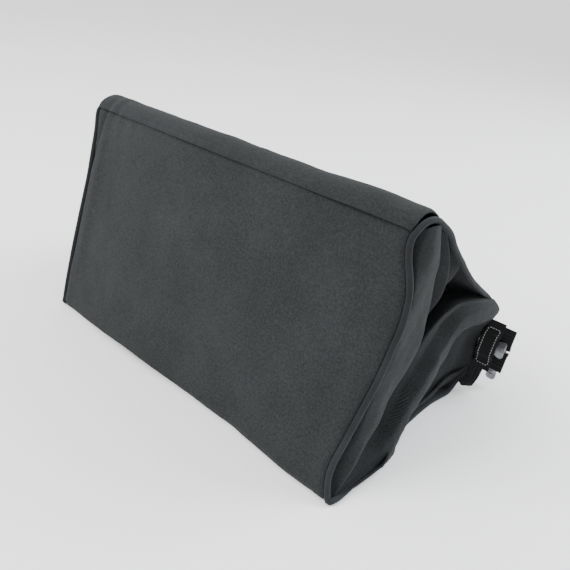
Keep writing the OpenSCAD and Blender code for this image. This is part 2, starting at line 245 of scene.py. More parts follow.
def merge(mesh, distance=1e-6):
    bm = bmesh.new()
    bm.from_mesh(mesh)
    bmesh.ops.remove_doubles(bm, verts=bm.verts, dist=distance)
    bmesh.ops.recalc_face_normals(bm, faces=bm.faces)
    bm.to_mesh(mesh)
    bm.free()


def stitches(name, lines, material, body, pitch=3.2, length=2.3, radius=0.28):
    """Rows of single stitches: each thread rises from its hole, lies flat and dips again.
    lines holds (path, outward) pairs; a path is in metres and outward is one direction for each point."""
    verts, faces, sides, rings = [], [], 6, 6
    for path, outward in lines:
        path, outward = np.array(path, float), np.array(outward, float)
        far = np.r_[0, np.cumsum(np.linalg.norm(np.diff(path, axis=0), axis=1))]
        for start in np.arange(pitch * 0.3 * MM, far[-1] - length * MM, pitch * MM):
            at = start + np.linspace(0, length * MM, rings)
            mid = np.stack([np.interp(at, far, path[:, k]) for k in range(3)], 1)
            out = np.stack([np.interp(at, far, outward[:, k]) for k in range(3)], 1)
            out /= np.linalg.norm(out, axis=1)[:, None]
            arch = np.sin(np.linspace(0, math.pi, rings)) ** 0.5
            mid = mid + out * ((arch - 0.55) * radius * 1.5 * MM)[:, None]
            tangent = np.gradient(mid, axis=0)
            tangent /= np.linalg.norm(tangent, axis=1)[:, None]
            across = np.cross(tangent, out)
            base = len(verts)
            for k in range(rings):
                r = radius * MM * (0.55 + 0.45 * arch[k])
                for s in range(sides):
                    a = 2 * math.pi * s / sides
                    verts.append(mid[k] + r * (math.cos(a) * across[k] + math.sin(a) * out[k]))
            for k in range(rings - 1):
                for s in range(sides):
                    a, b = base + k * sides + s, base + k * sides + (s + 1) % sides
                    faces.append((a, b, b + sides, a + sides))
            faces.append(tuple(base + s for s in range(sides)))
            faces.append(tuple(base + (rings - 1) * sides + s for s in reversed(range(sides))))
    mesh = bpy.data.meshes.new(name)
    mesh.from_pydata([tuple(v) for v in verts], [], faces)
    merge(mesh, 1e-8)
    return new_object(name, mesh, material, body)


# ---------------------------------------------------------------- materials
def shader(name, roughness, metallic=0.0, sheen=0.0, sheen_tint=(1, 1, 1, 1)):
    material = bpy.data.materials.new(name)
    material.use_nodes = True
    nodes, links = material.node_tree.nodes, material.node_tree.links
    bsdf = nodes["Principled BSDF"]
    bsdf.inputs["Roughness"].default_value = roughness
    bsdf.inputs["Metallic"].default_value = metallic
    bsdf.inputs["Sheen Weight"].default_value = sheen
    bsdf.inputs["Sheen Roughness"].default_value = 0.45
    bsdf.inputs["Sheen Tint"].default_value = sheen_tint
    return material, nodes, links, bsdf


def node(nodes, kind, **values):
    made = nodes.new(kind)
    for key, value in values.items():
        if key in made.inputs:
            made.inputs[key].default_value = value
        else:
            setattr(made, key, value)
    return made


def math_node(nodes, links, operation, a, b):
    made = nodes.new("ShaderNodeMath")
    made.operation = operation
    for socket, value in zip(made.inputs, (a, b)):
        if isinstance(value, (int, float)):
            socket.default_value = value
        else:
            links.new(value, socket)
    return made.outputs[0]


def cloth(name, dark, light, pitch=0.8, weave=0.25, twill=False, blotch=14.0, sheen=0.25,
          roughness=0.82, fuzz=0.08, tint=(0.75, 0.85, 1, 1)):
    """Woven cloth: threads over and under at the given pitch in millimetres, in cloth coordinates,
    with soft lighter and darker patches, partly the cloth's own uneven tone and partly painted mottled
    light and shade, and fine lint."""
    material, nodes, links, bsdf = shader(name, roughness, sheen=sheen, sheen_tint=tint)
    bsdf.inputs["Specular IOR Level"].default_value = 0.2
    uv = node(nodes, "ShaderNodeUVMap", uv_map="cloth")
    place = nodes.new("ShaderNodeTexCoord").outputs["Object"]
    split = nodes.new("ShaderNodeSeparateXYZ")
    links.new(uv.outputs[0], split.inputs[0])
    turn = 2 * math.pi / (pitch * MM)
    across = math_node(nodes, links, "MULTIPLY", split.outputs[0], turn)
    along = math_node(nodes, links, "MULTIPLY", split.outputs[1], turn)
    if twill:
        along = math_node(nodes, links, "ADD", along, across)
    warp = math_node(nodes, links, "SINE", across, 0)
    weft = math_node(nodes, links, "SINE", along, 0)
    threads = math_node(nodes, links, "MULTIPLY", warp, weft)
    grain = node(nodes, "ShaderNodeTexNoise", Scale=900.0, Detail=3.0, Roughness=0.7)
    links.new(place, grain.inputs["Vector"])
    height = math_node(nodes, links, "MULTIPLY", threads, 0.5)
    height = math_node(nodes, links, "ADD", height, grain.outputs["Fac"])
    # the patches paint the panels' soft mottled light and shade into the colour, along with the cloth's
    # own uneven tone
    patches = node(nodes, "ShaderNodeTexNoise", Scale=blotch, Detail=4.0, Roughness=0.6)
    links.new(place, patches.inputs["Vector"])
    lint = node(nodes, "ShaderNodeTexNoise", Scale=620.0, Detail=2.0, Roughness=0.6)
    links.new(place, lint.inputs["Vector"])
    mix = nodes.new("ShaderNodeValToRGB")
    mix.color_ramp.elements[0].position, mix.color_ramp.elements[0].color = 0.33, (*dark, 1)
    mix.color_ramp.elements[1].position, mix.color_ramp.elements[1].color = 0.72, (*light, 1)
    tone = math_node(nodes, links, "MULTIPLY", lint.outputs["Fac"], 2 * fuzz)
    tone = math_node(nodes, links, "ADD", patches.outputs["Fac"], tone)
    weave_tone = math_node(nodes, links, "MULTIPLY", threads, fuzz)
    tone = math_node(nodes, links, "ADD", tone, weave_tone)
    tone = math_node(nodes, links, "SUBTRACT", tone, fuzz)
    links.new(tone, mix.inputs["Fac"])
    links.new(mix.outputs["Color"], bsdf.inputs["Base Color"])
    rough = math_node(nodes, links, "MULTIPLY", patches.outputs["Fac"], 0.16)
    rough = math_node(nodes, links, "ADD", rough, roughness - 0.08)
    links.new(rough, bsdf.inputs["Roughness"])
    bump = node(nodes, "ShaderNodeBump", Strength=weave, Distance=0.0004)
    links.new(height, bump.inputs["Height"])
    links.new(bump.outputs["Normal"], bsdf.inputs["Normal"])
    return material


def metal(name, colour, worn, roughness=0.38):
    """Nickel-plated zinc: brushed and a little worn."""
    material, nodes, links, bsdf = shader(name, roughness, metallic=1.0)
    place = nodes.new("ShaderNodeTexCoord").outputs["Object"]
    grain = node(nodes, "ShaderNodeTexNoise", Scale=700.0, Detail=4.0)
    wear = node(nodes, "ShaderNodeTexNoise", Scale=160.0, Detail=3.0)
    links.new(place, grain.inputs["Vector"])
    links.new(place, wear.inputs["Vector"])
    mix = nodes.new("ShaderNodeValToRGB")
    mix.color_ramp.elements[0].position, mix.color_ramp.elements[0].color = 0.38, (*worn, 1)
    mix.color_ramp.elements[1].position, mix.color_ramp.elements[1].color = 0.62, (*colour, 1)
    links.new(wear.outputs["Fac"], mix.inputs["Fac"])
    links.new(mix.outputs["Color"], bsdf.inputs["Base Color"])
    rough = math_node(nodes, links, "MULTIPLY", grain.outputs["Fac"], 0.3)
    rough = math_node(nodes, links, "ADD", rough, roughness - 0.15)
    links.new(rough, bsdf.inputs["Roughness"])
    bump = node(nodes, "ShaderNodeBump", Strength=0.15, Distance=0.0001)
    links.new(grain.outputs["Fac"], bump.inputs["Height"])
    links.new(bump.outputs["Normal"], bsdf.inputs["Normal"])
    return material


GREY = (0.95, 0.98, 1, 1)
CANVAS = cloth("outer_canvas", (0.0045, 0.0053, 0.0056), (0.0255, 0.0285, 0.030), pitch=0.95, weave=0.6,
               fuzz=0.75, sheen=0.02, tint=GREY)
GUSSET = cloth("gusset_canvas", (0.0035, 0.0043, 0.0048), (0.0195, 0.022, 0.0240), pitch=0.95, weave=0.6,
               fuzz=0.6, sheen=0.02, tint=GREY)
LINING = cloth("lining_taffeta", (0.003, 0.003, 0.0035), (0.008, 0.008, 0.009), pitch=0.5, weave=0.2,
               sheen=0.04, roughness=0.6, tint=GREY)
PIPING = cloth("piping_tape", (0.005, 0.006, 0.007), (0.018, 0.021, 0.024), pitch=0.7, weave=0.5,
               twill=True, fuzz=0.2, sheen=0.04, tint=GREY)
WEBBING = cloth("webbing_ribs", (0.006, 0.006, 0.0065), (0.018, 0.0185, 0.0195), pitch=1.1, weave=0.7,
                fuzz=0.2, sheen=0.06, tint=GREY)
TAPE = cloth("zip_tape_twill", (0.005, 0.005, 0.0055), (0.014, 0.0145, 0.016), pitch=0.9, weave=0.6,
             twill=True, fuzz=0.2, sheen=0.04, tint=GREY)
BOARD = cloth("stiffener_board", (0.10, 0.095, 0.09), (0.15, 0.145, 0.13), pitch=1.4, weave=0.15,
              sheen=0.0)
ELASTIC = cloth("knitted_elastic", (0.20, 0.20, 0.19), (0.32, 0.32, 0.31), pitch=1.2, weave=0.7,
                sheen=0.05)
THREAD = cloth("seam_thread", (0.016, 0.018, 0.020), (0.045, 0.048, 0.052), pitch=0.4, weave=0.3,
               sheen=0.05)
LIGHT_THREAD = cloth("box_stitch_thread", (0.30, 0.31, 0.33), (0.50, 0.52, 0.54), pitch=0.4, weave=0.3,
                     sheen=0.05)
METAL = metal("plated_zinc", (0.28, 0.29, 0.31), (0.14, 0.145, 0.155))
TEETH = metal("tooth_metal", (0.30, 0.31, 0.33), (0.16, 0.165, 0.175), 0.36)


# ---------------------------------------------------------------- the end seam
# How far the end seam stands in or out of its straight line, by height up the base panel
BOW = {
    1: ((0, 3), (8, -1), (18, -4.5), (50, -3.5), (75, 0), (100, 3.5), (125, 5.5), (150, 6.5),
        (172, 2.5), (188, -5), (200, -8), (212, -6), (220, -3)),
    -1: ((0, 1), (12, 1), (30, 2), (60, 3), (100, 3), (140, 2.5), (165, 4), (190, 6), (205, 9),
         (220, 10)),
}
# The same along the floor, by distance behind the bottom front corner
FLOOR_BOW = ((0, 4), (12, 4.5), (40, 3), (70, 0), (95, -6), (140, -9), (170, -9), (195, -5))
# The slope's end edge: depth behind the base panel and height up it
SLOPE_EDGE = ((26, 218), (40, 212), (60, 200), (105, 178), (132, 168), (152, 161.5),
              (172, 155), (188, 147), (204, 134), (211.5, 128))


def bow(side, u):
    return table(u, BOW[side])


def round_top(turn, r):
    """A point of the fold along the top, in slant coordinates."""
    a = math.radians(turn)
    return TOP_U + r * math.sin(a), TOP_D - r * math.cos(a)


def floor_seam(side, y, z):
    x, u, d = on_floor(HALF_W + table(y, FLOOR_BOW), y, z)
    return side * x, u, d


def end_seam(side, inset):
    """The line of the end seam, inset into the bag's end, in slant coordinates."""
    line = [(side * (HALF_W - 4), ZIP_U - LAP_U - 6, 208), (side * (HALF_W - 6), ZIP_U - LAP_U - 20, 196)]
    line += [floor_seam(side, y, inset) for y in (188, 160, 120, 90, 60, 30, 12)]
    line += [(side * (HALF_W + bow(side, u)), max(u, 2.5), inset * k)
             for u, k in ((1, 1.4), (8, 1.1))]
    line += [(side * (HALF_W + bow(side, u)), u, inset) for u in range(18, 200, 10)]
    for turn in range(4, 114, 12):
        u, d = round_top(turn, TOP_R - inset)
        line.append((side * (HALF_W + bow(side, 200) * (1 - turn / 150)), u, d))
    line += [(side * (HALF_W + 1), u - inset * 0.9, d - inset * 0.4) for d, u in SLOPE_EDGE[1:-1]]
    return line


def top_end(x, turn):
    """Where a gusset's fold meets the fold along the top."""
    return (x, *round_top(turn, TOP_R - 2 * PIPING_R))


def back_end(x, d):
    """Where a gusset's fold meets the slope's end edge."""
    return (x, table(d, SLOPE_EDGE) - 4.5, d - 1)


def gusset_curves():
    """The folds of an end gusset, from the base panel's seam round to the rest panel's.
    Each runs from the bottom front corner out to the end seam: x, height up and depth behind."""
    ups = range(14, 200, 14)
    depth = ((0, 3), (60, 5), (100, 8), (170, 10), (205, 6))
    edge = [(HALF_W - 1 + bow(1, u), u, 4.5) for u in ups] + [top_end(174, 10)]
    groove = [(HALF_W + bow(1, u) - table(u, depth), u, 6.5) for u in ups] + [top_end(172, 28)]
    near = [(HALF_W + 1.5 + 0.55 * bow(1, u), u, 9.5) for u in ups] + [top_end(178, 50)]
    return [
        edge,
        groove,
        near,
        [(183.5, 25, 12.5), (184, 71, 19), (186, 121, 25), (185, 171, 22), top_end(181, 75)],
        [(184, 25, 15.5), (184, 49, 22), (184, 71, 30), (185, 98, 38), (186, 121, 42), (185, 144, 42),
         (184, 171, 37), (183, 192, 32), top_end(181, 100)],
        [(180, 25, 17), (177, 49, 24), (176, 71, 32), (177, 98, 40), (178, 121, 44), (178, 144, 44),
         (178, 171, 39), (178, 192, 34), top_end(178, 112)],
        [(175, 25, 21), (168, 49, 31), (166, 71, 40), (166, 98, 48), (167, 121, 51), (168, 144, 49),
         (169, 171, 43), (171, 192, 38), back_end(177, 30)],
        [(171, 25, 24), (165, 55, 40), (165, 90, 54), (169, 118, 60), (177, 142, 55), (181, 160, 59),
         (182, 176, 60), (182, 194, 50), back_end(181, 35)],
        [(169, 25, 27), (161, 55, 45), (159, 90, 61), (162, 118, 67), (168, 142, 64), (171, 160, 66),
         (172, 176, 66), (174, 194, 56), back_end(179, 41)],
        [(168, 25, 30), (158, 55, 51), (156, 90, 70), (158, 118, 80), (164, 145, 84), (173, 165, 84),
         (180, 182, 79), (182, 190, 66), back_end(182, 52)],
        [(168, 25, 33), (157, 55, 56), (152, 90, 77), (149, 118, 90), (148, 142, 97), (153, 160, 97),
         (166, 174, 95), (176, 180, 90), back_end(181, 80)],
        [(168, 25, 37), (156, 55, 62), (150, 90, 84), (144, 118, 100), (140, 140, 112),
         (144, 154, 118), (160, 165, 120), back_end(182, 118)],
        [(169, 25, 41), (158, 55, 68), (152, 88, 90), (145, 115, 108), (143, 136, 126),
         (150, 148, 140), (166, 156, 148), back_end(184, 158)],
        [(172, 25, 44), (166, 50, 64), (166, 78, 80), (168, 108, 92), (171, 134, 102),
         (176, 149, 116), (181, 153, 136), (185, 154, 158), (186, 154, 170)],
        [(176, 24, 47), (173, 50, 68), (171, 80, 88), (170, 108, 104), (171, 130, 114),
         (177, 145, 124), (183, 150, 140), (187, 152, 158), (188, 152, 173)],
        [(181, 22, 50), (183, 45, 68), (183, 70, 86), (182, 100, 107), (181, 122, 121),
         (183, 138, 128), (187, 144, 144), (190, 148, 160), (190, 149, 177)],
        [(186, 17, 55), (186, 40, 74), (184, 66, 94), (182, 95, 117), (181, 115, 130),
         (184, 129, 137), (188, 135, 154), (191, 141, 168), (191, 145, 182)],
        [(187, 15.5, 60), (185, 31, 76), (182, 45, 91), (180, 64, 106), (179, 90, 126),
         (178, 112, 138), (179, 121, 142), (183, 128, 160), (188, 134, 174), (190, 140, 185)],
        [(183, 17, 63), (180, 32, 80), (175, 46, 96), (172, 64, 111), (169, 90, 131), (168, 111, 144),
         (170, 119, 152), (175, 125, 166), (181, 130, 182), (185, 133, 196)],
        [(179, 18, 66), (172, 34, 85), (164, 48, 103), (157, 66, 120), (153, 88, 136), (157, 106, 148),
         (167, 115, 162), (172, 118, 182), (178, 120, 201)],
        [(179, 19, 69), (170, 31, 94), (158, 44, 115), (149, 58, 131), (149, 74, 145), (158, 90, 160),
         (168, 98, 178), (170, 104, 196), (176, 107, 206)],
        [(182, 19, 70), (173, 29, 98), (162, 38, 120), (155, 48, 138), (163, 60, 156), (168, 72, 177),
         (171, 82, 195), (176, 92, 206)],
        [(186, 18, 64), (181, 25, 84), (174, 33, 110), (168, 42, 134), (167, 51, 156), (169, 60, 178),
         (172, 70, 195), (176, 82, 207)],
        [on_floor(186, 14, 5), on_floor(188, 36, 7), on_floor(189, 56, 8), on_floor(184, 74, 9),
         on_floor(175, 94, 10), on_floor(172, 116, 11), on_floor(170, 142, 12),
         on_floor(170, 170, 14), on_floor(172, 190, 20), (176, 76, 205)],
        [on_floor(185, 14, 2), on_floor(187, 36, 2), on_floor(186, 56, 2), on_floor(181, 74, 2),
         on_floor(173, 94, 2.5), on_floor(170, 116, 3), on_floor(168, 142, 3.5),
         on_floor(169, 170, 5), on_floor(172, 193, 12), (175, 70, 202)],
        [on_floor(180, 14, 1.6), on_floor(179, 50, 1.6), on_floor(172, 90, 1.6),
         on_floor(167, 140, 2), on_floor(168, 186, 3), (174, 64, 197)],
    ]


def gusset_fan(side):
    """The gusset's surface as a fan of curves, in slant coordinates for the right end."""
    corner = (HALF_W + 3, 5, 5.5)
    rows, between, slack = 100, 8, 0.3
    folds = np.array([catmull([corner] + list(c), rows) for c in gusset_curves()])
    ends = np.concatenate([folds[:1], folds, folds[-1:]])
    fan = []
    for a, b, c, d in zip(ends, ends[1:], ends[2:], ends[3:]):
        for s in np.linspace(0, 1, between + 1)[:-1]:
            # a slack spline keeps each crease from swinging past its neighbours
            fan.append((2 * s ** 3 - 3 * s ** 2 + 1) * b + (s ** 3 - 2 * s ** 2 + s) * slack * (c - a)
                       + (3 * s ** 2 - 2 * s ** 3) * c + (s ** 3 - s ** 2) * slack * (d - b))
    fan = np.array(fan + [folds[-1]])
    flat = fan.reshape(-1, 3)
    t = np.linspace(0, 1, rows)
    away = np.broadcast_to(smooth(t * 6) * smooth((1 - t) * 8), fan.shape[:2]).ravel()
    flat[:, 0] += away * (fractal(flat, 34, 1.8, 3.0 * side) + rumple(flat, 8, 0.5, 5.0 * side))
    flat[:, 2] += away * rumple(flat, 22, 1.2, 8.0 * side)
    return fan


def fan_sheet(name, fan, side, thick, material):
    points = np.array([slant(side * x, u, d) for x, u, d in fan.reshape(-1, 3)])
    points[:, 2] = np.maximum(points[:, 2], 0.0012)
    return sheet(name, points.reshape(fan.shape), thick, material, "bag",
                 flip=side > 0, flat_uv=fan[:, :, [2, 1]] * MM)


def build_gusset(tag, side):
    fan = gusset_fan(side)
    cover = fan_sheet(f"gusset_cloth_{tag}", fan, side, 1.0, GUSSET)
    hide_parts(f"end_gusset_{tag}")
    # the inner bag's end hangs inside the gusset, folded the same way but slacker
    inner = fan[::3, ::3].copy()
    middle = np.array([0, 92, 95])
    inner = middle + (inner - middle) * 0.88
    inner[:, :, 0] = np.minimum(fan[::3, ::3, 0] - 7, HALF_W - 21)
    lining = fan_sheet(f"lining_cloth_end_{tag}", inner, side, 0.6, LINING)
    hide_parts(f"lining_end_{tag}")


def build_piping(tag, side):
    line = end_seam(side, PIPING_R)
    path = catmull([slant(*p) for p in line], 460)
    path[:, 2] = np.maximum(path[:, 2], (PIPING_R + 0.1) * MM)
    at = np.arange(len(path))
    radius = PIPING_R * (1 + 0.05 * np.array([noise.noise(Vector((k / 14, side, 0))) for k in at]))
    cord = tube(f"piping_cord_{tag}", path, radius, PIPING, "bag", sides=16)
    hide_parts(f"piping_{tag}")


# ---------------------------------------------------------------- the panels
def panel(name, profile, half, lift, thick, material, replaced, cols=150, flip=False):
    """A panel right across the bag. profile gives its outside line, half gives the half length at
    each point and side, and lift moves a point outwards, all in millimetres. flip is for a profile
    that runs with the bag's inside on its other hand."""
    rows = len(profile)
    normal = np.gradient(profile, axis=0)
    normal = np.stack([normal[:, 1], -normal[:, 0]], 1) * (-1 if flip else 1)
    normal /= np.linalg.norm(normal, axis=1)[:, None]
    across = np.linspace(-1, 1, cols)
    points = np.zeros((rows, cols, 3))
    for i, (u, d) in enumerate(profile):
        reach = np.where(across < 0, half(-1, u, d), half(1, u, d))
        x = across * reach
        away = lift(x, u, d, reach - np.abs(x), i / (rows - 1))
        points[i, :, 0] = x
        points[i, :, 1] = u + normal[i, 0] * away[0] + away[1]
        points[i, :, 2] = d + normal[i, 1] * away[0]
    grid = np.array([slant(*p) for p in points.reshape(-1, 3)]).reshape(points.shape)
    grid[:, :, 2] = np.maximum(grid[:, :, 2], 0.3 * MM)
    cover = sheet(name, grid, thick, material, "bag", flip=flip)
    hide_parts(replaced)
    return grid


def edge_roll(gap, depth=2.0, width=2.6):
    """The cloth turns down where it is sewn against the piping."""
    return -depth * np.exp(-(np.maximum(gap, 0) / width) ** 2)


def noise_row(x, u, d, scale, amount, seed):
    return np.array([
        amount * (noise.noise(Vector((v / scale, u / scale + seed, d / scale)))
                  + 0.45 * noise.noise(Vector((v / scale * 2.3, u / scale * 2.3 + seed, d / scale * 2.3))))
        for v in x
    ])


def base_profile():
    line = [round_top(turn, TOP_R) for turn in range(22, -1, -4)]
    line += [(u, 0.0) for u in range(196, 6, -6)]
    line += [(6 - 6 * math.sin(math.radians(a)), 6 - 6 * math.cos(math.radians(a)))
             for a in (0, 20, 40, 60)]
    line += [on_floor(0, y, 0.4)[1:] for y in (8, 14)]
    return spread(line, 110)


def base_lift(x, u, d, gap, t):
    sag = 5.0 * smooth((70 - u) / 70) * np.exp(-((x + 60) / 90) ** 2) if u > 6 else 0 * x
    rise = math.sin(math.pi * min(max(u / 200, 0), 1))
    crown = 1.2 * rise * np.cos(np.clip(x / 190, -1, 1) * math.pi / 2)
    soft = noise_row(x, u, d, 70, 1.3, 2.0) + noise_row(x, u, d, 16, 0.28, 4.0)
    pull = 1.5 * np.exp(-((np.abs(x) - 168) / 7) ** 2) * smooth((u - 20) / 60) * smooth((200 - u) / 30)
    pucker = 0.5 * np.sin(x / 3.1) * np.exp(-((x + 150) / 26) ** 2) * smooth((u - 178) / 24)
    # a soft fold runs from the seam's left end down to the left edge
    fold_x = -(HALF_W - 8) - (207 - u) * 0.17
    fold = -2.0 * np.exp(-((x - fold_x) / 2.2) ** 2) * smooth((u - 146) / 12)
    belly = 0.8 * np.exp(-((x - 118) / 42) ** 2) * smooth((62 - u) / 50) * smooth((u - 1) / 12)
    return belly + sag + crown + soft + pull + pucker + fold + edge_roll(gap), 0 * x


def slope_profile():
    line = [round_top(turn, TOP_R + 0.6) for turn in range(16, int(SLOPE_TURN), 5)]
    u0, d0 = round_top(SLOPE_TURN, TOP_R)
    u1, steps = ZIP_U + LAP_U, 46
    line += [(u0 + (u1 - u0) * k / steps, d0 + (LAP_D - d0) * k / steps) for k in range(steps)]
    line += [(u1, LAP_D + 0.4), (u1 - 3, LAP_D + 0.8), (u1 - 7, LAP_D + 0.8), (u1 - 11.5, LAP_D + 0.5)]
    return spread(line, 150)


def slope_lift(x, u, d, gap, t):
    """The gussets' folds push the slope's ends up, and the middle sags a little between the sleeves."""
    on = d > 20
    flat_u = 218.2 - (d - 25.9) * 0.486
    raised = max(table(d, SLOPE_EDGE) - flat_u, 0) if 26 < d < 211 else 0
    up = raised * smooth((np.abs(x) - 137) / 38)
    bulge = 2.5 * np.exp(-((x - 128) / 42) ** 2) * math.exp(-((d - 12) / 22) ** 2)
    bulge = bulge + 1.6 * smooth((110 - x) / 80) * math.exp(-((d - 14) / 20) ** 2)
    raised_end = 1.2 * smooth((x - 60) / 90) * math.exp(-((d - 14) / 20) ** 2)
    strip = 0.6 * smooth(t * 60) + 0.5 + raised_end
    clear_of_sleeves = smooth((np.abs(np.abs(x) - SLEEVE_X) - 46) / 12)
    middle = noise_row(x, u, d, 60, 1.5, 7.0) * (0.3 + 0.7 * clear_of_sleeves)
    fine = noise_row(x, u, d, 15, 0.3, 9.0)
    pucker = 1.1 * np.sin(x / 2.6 + 0.8) * np.exp(-((x + 160) / 12) ** 2) * math.exp(-((d - 4) / 10) ** 2)
    sag = -2.0 * smooth(d / 60) * smooth((205 - d) / 60) * np.exp(-(x / 40) ** 2) if on else 0 * x
    return strip + middle + fine + pucker + sag + bulge + edge_roll(gap), up


def rest_profile():
    u1 = ZIP_U - LAP_U
    line = [on_floor(0, y, 0.0)[1:] for y in (14, 40, 80, 120, 160, 190)]
    line += [on_floor(0, 195, 1.0)[1:], (u1, LAP_D), (u1 + 3, LAP_D + 0.8), (u1 + 8, LAP_D + 0.8),
             (u1 + 11.5, LAP_D + 0.5)]
    return spread(line, 110)


def rest_lift(x, u, d, gap, t):
    soft = noise_row(x, u, d, 50, 0.5, 11.0)
    wave = noise_row(x, u, d, 26, 1.2, 13.0) * smooth((d - 186) / 8) * smooth((212 - d) / 6)
    floor_gap = -0.6 - np.abs(soft)
    return np.where(d < 184, floor_gap, wave - 0.4) + 0.6 * edge_roll(gap), 0 * x


def panel_half(side, u, d):
    if d < 20:
        return HALF_W - PIPING_R + 0.4 + bow(side, min(u, 212))
    top = -5 if side > 0 else 2
    return HALF_W - PIPING_R + 1.2 + table(d, ((20, top), (50, 0), (150, 1), (180, 3), (212, 1)))


def rest_half(side, u, d):
    y = d * math.cos(LEAN) + u * math.sin(LEAN)
    return HALF_W - PIPING_R + 0.4 + table(y, FLOOR_BOW)


base_grid = panel("base_cover", base_profile(), panel_half, base_lift, 1.8, CANVAS, "base_panel",
                  cols=190, flip=True)
slope_grid = panel("slope_cover", slope_profile(), panel_half, slope_lift, 1.4, CANVAS, "slope_panel",
                   cols=190)
rest_grid = panel("rest_cover", rest_profile(), rest_half, rest_lift, 1.4, CANVAS, "rest_panel",
                  cols=150, flip=True)
for tag, side in SIDES:
    build_gusset(tag, side)
    build_piping(tag, side)

# ---------------------------------------------------------------- board and inner bag
OUT_D = np.array(slant(0, 0, 1)) - np.array(slant(0, 0, 0))     # straight back from the base panel
OUT_D = OUT_D / np.linalg.norm(OUT_D)


def build_board():
    """The stiffener behind the base panel, which keeps the cover's own gentle curve."""
    grid = base_grid[6:97:2, 12:-12:2] + OUT_D * 3.2 * MM
    board = sheet("stiffener", grid, 2.4, BOARD, "bag", flip=True)
    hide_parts("base_board")


def editable(node_name):
    """A copy of a CAD node's mesh in the row frame, and an open edit of it."""
    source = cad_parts[node_name]
    mesh = source.data.copy()
    mesh.transform(source.matrix_world)
    bm = bmesh.new()
    bm.from_mesh(mesh)
    bmesh.ops.remove_doubles(bm, verts=bm.verts, dist=1e-6)
    return mesh, bm


def rumpled(name, replaced, amount, span, reach=None):
    """A lining's cloth: the CAD shape with a soft random rumple, drawn in behind the gussets' folds."""
    plain, lining_half = 140, 168    # only what lies between these from the middle is drawn in
    mesh, bm = editable(replaced)
    for _ in range(7):
        bmesh.ops.triangulate(bm, faces=bm.faces)
        long = [e for e in bm.edges if e.calc_length() > span * MM]
        if not long:
            break
        bmesh.ops.subdivide_edges(bm, edges=long, cuts=1)
    bmesh.ops.triangulate(bm, faces=bm.faces)
    for v in bm.verts:
        if reach and abs(v.co.x) > plain * MM:
            over = (abs(v.co.x) / MM - plain) * (reach - plain) / (lining_half - plain)
            v.co.x = math.copysign((plain + over) * MM, v.co.x)
        place = Vector(v.co) / MM
        v.co.y += amount * noise.noise(place / 31) * MM
        v.co.z += amount * noise.noise(place / 27 + Vector((5, 0, 0))) * MM
    bm.to_mesh(mesh)
    bm.free()
    layer = mesh.uv_layers.new(name="cloth")
    for loop in mesh.loops:
        co = mesh.vertices[loop.vertex_index].co
        layer.data[loop.index].uv = (co.x, co.y - co.z)
    obj = new_object(name, mesh, LINING, "bag")
    for face in mesh.polygons:
        face.use_smooth = False
    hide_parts(replaced)
    return obj


build_board()
for part in ("base", "slope", "rest"):
    rumpled(f"inner_bag_{part}", f"lining_{part}", 0.8, 9, 161)
for tag, side in SIDES:
    rumpled(f"armhole_tape_{tag}", f"armhole_binding_{tag}", 0.15, 5)


# ---------------------------------------------------------------- the zippers
def on_tape(x, down, out, d0=ZIP_D):
    """A point down across a zipper's tape from its teeth and out from it."""
    return slant(x, ZIP_U - down, d0 + out)


def build_tape(name, d0, sign, reach, half, replaced):
    """Half a zipper's tape, with the raised cord beside the teeth and a rib near its edge."""
    downs = np.linspace(1.3, reach, 36)
    xs = np.linspace(-half, half, 240)
    rib = 0.35 * np.exp(-((downs - 6.4) / 0.8) ** 2) + 0.15 * np.exp(-((downs - 9.2) / 0.5) ** 2)
    wave = [0.35 * noise.noise(Vector((x / 24, sign * 3, d0))) for x in xs]
    grid = np.array([
        [on_tape(x, sign * v, 0.4 + r + w * smooth((v - 5) / 8), d0) for x, w in zip(xs, wave)]
        for v, r in zip(downs, rib)
    ])
    tape = sheet(name, grid, 0.8, TAPE, "bag", flip=sign < 0)
    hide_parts(replaced)
    return grid


def build_teeth(name, d0, flip, end, scale, replaced):
    """One side's teeth: each is clamped over the tape's edge and ends in a rounded head."""
    half = [(0.8, 5.3), (0.95, 4.9), (0.95, 2.2), (0.5, 1.6), (0.48, 0.7), (0.7, 0.3), (0.7, -0.45),
            (0.4, -0.9)]
    outline = np.array(half + [(-x, y) for x, y in reversed(half)])
    middle = np.array([0, 2.2])
    levels = ((-1.75, 0.78), (-1.45, 1), (1.45, 1), (1.75, 0.78))
    count = math.floor((2 * end - 3) / 3)
    verts, faces, n = [], [], len(outline)
    for k in range(count):
        x0 = (k + 0.425 - count / 2 + flip / 2) * 3
        base = len(verts)
        for out, size in levels:
            for x, y in middle + (outline - middle) * size:
                down = y * scale * (-1 if flip else 1)
                verts.append(on_tape(x0 + x, down, out * scale, d0))
        for level in range(3):
            for a in range(n):
                b = (a + 1) % n
                faces.append((base + level * n + a, base + level * n + b,
                              base + (level + 1) * n + b, base + (level + 1) * n + a))
        faces.append(tuple(base + a for a in reversed(range(n))))
        faces.append(tuple(base + 3 * n + a for a in range(n)))
    mesh = bpy.data.meshes.new(name)
    mesh.from_pydata(verts, [], faces)
    merge(mesh, 1e-8)
    teeth = new_object(name, mesh, TEETH, "bag")
    for face in mesh.polygons:
        face.use_smooth = False
    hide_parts(replaced)


def refined(name, replaced, body, width=0.35):
    """A metal piece with its edges rounded as they come from the die."""
    mesh, bm = editable(replaced)
    bmesh.ops.dissolve_limit(bm, angle_limit=math.radians(2), verts=bm.verts, edges=bm.edges)
    bm.to_mesh(mesh)
    bm.free()
    obj = new_object(name, mesh, METAL, None)
    bevel = obj.modifiers.new("edges", "BEVEL")
    bevel.width, bevel.segments, bevel.limit_method = width * MM, 2, "ANGLE"
    bevel.angle_limit = math.radians(40)
    bevel.harden_normals = True
    apply_modifiers(obj)
    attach(obj, body)
    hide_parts(replaced)
    return obj


